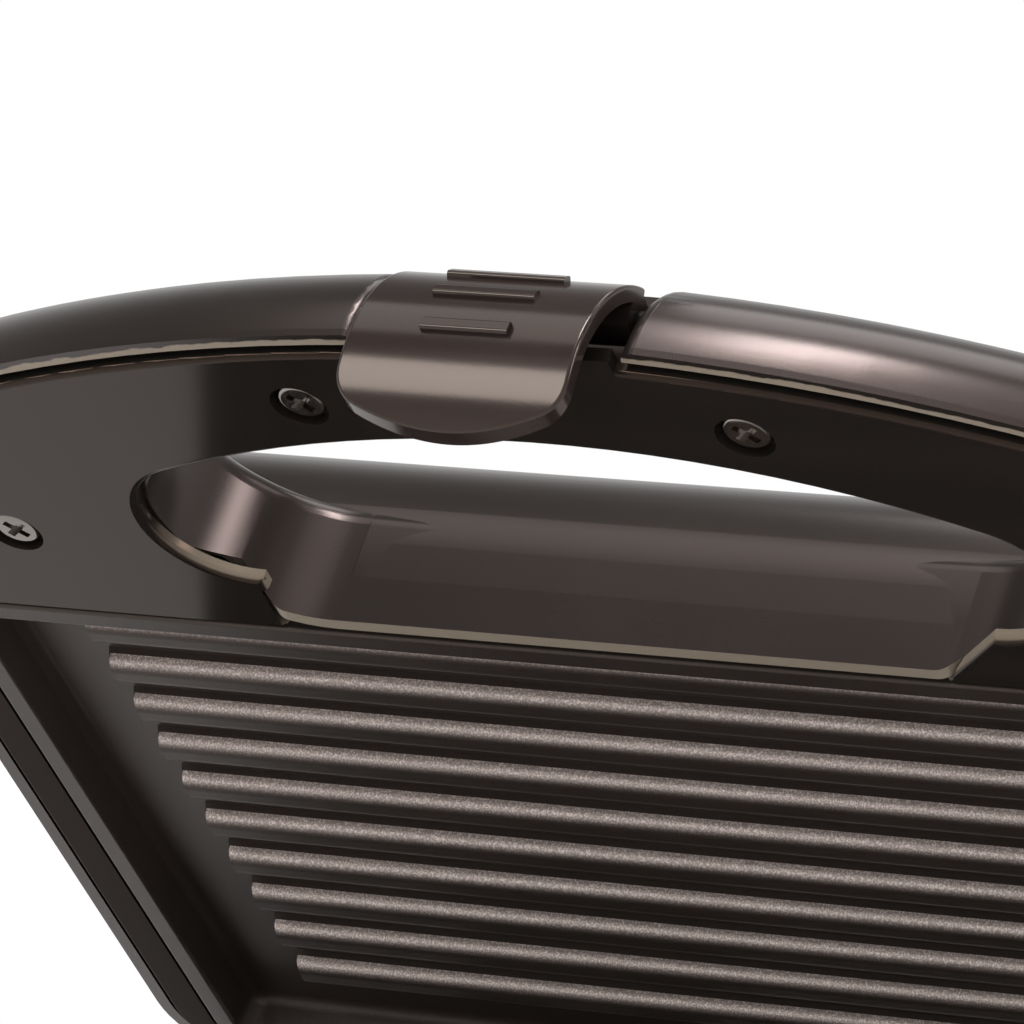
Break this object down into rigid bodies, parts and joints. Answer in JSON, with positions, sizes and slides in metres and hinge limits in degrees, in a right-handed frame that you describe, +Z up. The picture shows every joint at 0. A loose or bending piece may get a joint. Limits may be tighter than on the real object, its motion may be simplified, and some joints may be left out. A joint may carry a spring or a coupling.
{
  "type": "panini press",
  "caption": "Hinged contact grill for sandwiches: ribbed plates in a dark two-part housing, arched carry handle with finger hole, and a swinging clip that holds the lid shut.",
  "frame": {"origin": "centre of the bounding box's bottom, on the table under the feet", "axes": "+X to the right seen from the handle side, -Y towards the handle, +Z up"},
  "size_m": [0.2452, 0.2246, 0.2055],
  "materials": {
    "shell": "satin moulded",
    "cover": "high gloss",
    "plate": "dark non-stick coating",
    "element": "dull oxidised sheath",
    "reflector": "bright rolled sheet",
    "screw": "dark zinc",
    "pin": "bright",
    "clip": "satin gloss",
    "ceramic": "matte",
    "bush": "matte",
    "foot": "matte",
    "red_lens": "clear tinted",
    "green_lens": "clear tinted",
    "lamp": "clear"
  },
  "bodies": {
    "base": {"base_shell": "shell", "base_inner_cover": "cover", "lower_plate": "plate", "lower_element": "element", "lower_reflector": "reflector", "lower_plate_screws": "screw", "base_cover_screws": "screw", "thermostat": "ceramic", "terminal_block": "ceramic", "cord_inlet_bush": "bush", "rubber_feet": "foot", "hinge_pins": "pin"},
    "lid": {"lid_shell": "shell", "lid_inner_cover": "cover", "upper_plate": "plate", "upper_element": "element", "upper_reflector": "reflector", "upper_plate_screws": "screw", "lid_cover_screws": "screw", "power_lens": "red_lens", "ready_lens": "green_lens", "indicator_lamps": "lamp", "latch_pin": "pin"},
    "latch": {"latch_clip": "clip"}
  },
  "joints": [
    {"name": "lid_hinge", "type": "hinge", "parent": "base", "child": "lid", "pos_m": [0, 0.1021, 0.047], "axis": [-1, 0, 0], "range_deg": [-44, 60]},
    {"name": "latch_pivot", "type": "hinge", "parent": "lid", "child": "latch", "pos_m": [0, -0.03791, 0.19914], "axis": [-1, 0, 0], "range_deg": [-4.5, 35]}
  ]
}
